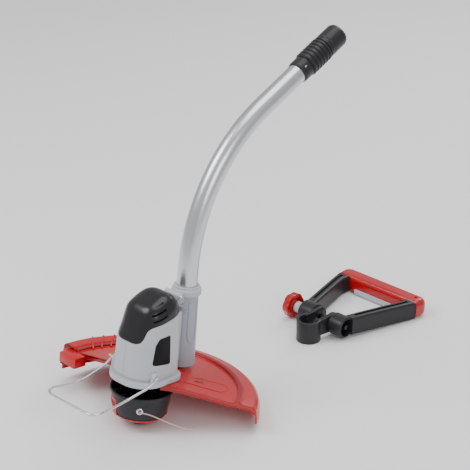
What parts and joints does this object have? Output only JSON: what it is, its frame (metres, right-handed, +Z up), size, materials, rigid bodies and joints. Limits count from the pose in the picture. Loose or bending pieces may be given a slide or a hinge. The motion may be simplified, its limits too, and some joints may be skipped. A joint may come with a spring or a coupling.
{
  "type": "string trimmer",
  "caption": "Electric string trimmer head with bent shaft, red guard, bump-feed line head, folding wire bail and a loose clamp-on D-handle.",
  "frame": {"origin": "centre of the bump knob's flat foot; the machine leans back on the knob and the back edge of the guard's skirt", "axes": "+Z up, -Y towards the front where the wire bail reaches, +X towards the open side of the guard"},
  "size_m": [0.2987, 0.6317, 0.4644],
  "materials": {
    "light_shell": "satin",
    "socket_shell": "satin",
    "dark_cover": "satin",
    "black_plastic": "satin",
    "guard_red": "gloss",
    "trim_red": "gloss",
    "tube_metal": "brushed",
    "steel": "satin",
    "blade_steel": "satin",
    "copper": "satin",
    "carbon": "matte",
    "line_nylon": "satin",
    "lead_rubber": "matte",
    "spacer_metal": "satin"
  },
  "bodies": {
    "trimmer": {"housing_left": "light_shell", "housing_right": "light_shell", "top_cover": "dark_cover", "badge_left": "black_plastic", "badge_right": "black_plastic", "base_ring": "light_shell", "tube_socket": "socket_shell", "socket_collar": "light_shell", "collar_screw": "steel", "motor_can": "steel", "motor_end_bell": "black_plastic", "motor_magnets": "carbon", "brush_holders": "copper", "carbon_brushes": "carbon", "lower_bearing": "steel", "upper_bearing": "steel", "housing_screws": "steel", "guard": "guard_red", "guard_screws": "steel", "line_cutter": "blade_steel", "cutter_screws": "steel", "tube": "tube_metal", "power_lead": "lead_rubber", "coupler_collar": "dark_cover", "coupler_sleeve": "dark_cover", "connector_block": "black_plastic", "contact_pins": "copper"},
    "head": {"motor_shaft": "steel", "armature": "copper", "commutator": "copper", "cooling_fan": "black_plastic", "drum": "dark_cover", "head_fins": "black_plastic", "drum_cap": "trim_red", "line_eyelet": "steel", "cutting_line": "line_nylon", "feed_spring": "steel"},
    "spool_set": {"spool": "black_plastic", "wound_line": "line_nylon", "bump_knob": "black_plastic"},
    "bail": {"wire_bail": "steel"},
    "lock_nut": {"coupler_nut": "dark_cover"},
    "handle_base": {"handle_clamp": "dark_cover", "clamp_bolt": "steel", "clamp_nut": "steel", "clamp_spacer": "spacer_metal"},
    "handle_loop": {"handle_frame": "dark_cover", "handle_grip": "trim_red"},
    "handle_knob": {"clamp_knob": "trim_red"}
  },
  "joints": [
    {"name": "head_spin", "type": "hinge", "parent": "trimmer", "child": "head", "pos_m": [0, 0, 0], "axis": [0, 0.1218, 0.9926], "continuous": true},
    {"name": "bump_feed", "type": "slide", "parent": "head", "child": "spool_set", "axis": [0, 0.1218, 0.9926], "range_m": [0, 0.005], "stiffness_N_per_m": 3000, "springref_m": -0.005, "deforming": ["feed_spring"]},
    {"name": "bail_fold", "type": "hinge", "parent": "trimmer", "child": "bail", "pos_m": [0, -0.00391, 0.0831], "axis": [-1, 0, 0], "range_deg": [0, 95]},
    {"name": "nut_turn", "type": "hinge", "parent": "trimmer", "child": "lock_nut", "pos_m": [0, 0.32388, 0.41888], "axis": [0, 0.917, 0.3988], "range_deg": [0, 90]},
    {"name": "handle_lift", "type": "slide", "parent": "trimmer", "child": "handle_base", "axis": [0, 0, 1], "range_m": [0, 0.12]},
    {"name": "handle_tilt", "type": "hinge", "parent": "handle_base", "child": "handle_loop", "pos_m": [0.0125, 0.364, 0.01773], "axis": [1, 0, 0], "range_deg": [0, 110]},
    {"name": "knob_turn", "type": "hinge", "parent": "handle_base", "child": "handle_knob", "pos_m": [0.0125, 0.364, 0.01773], "axis": [1, 0, 0], "continuous": true}
  ]
}
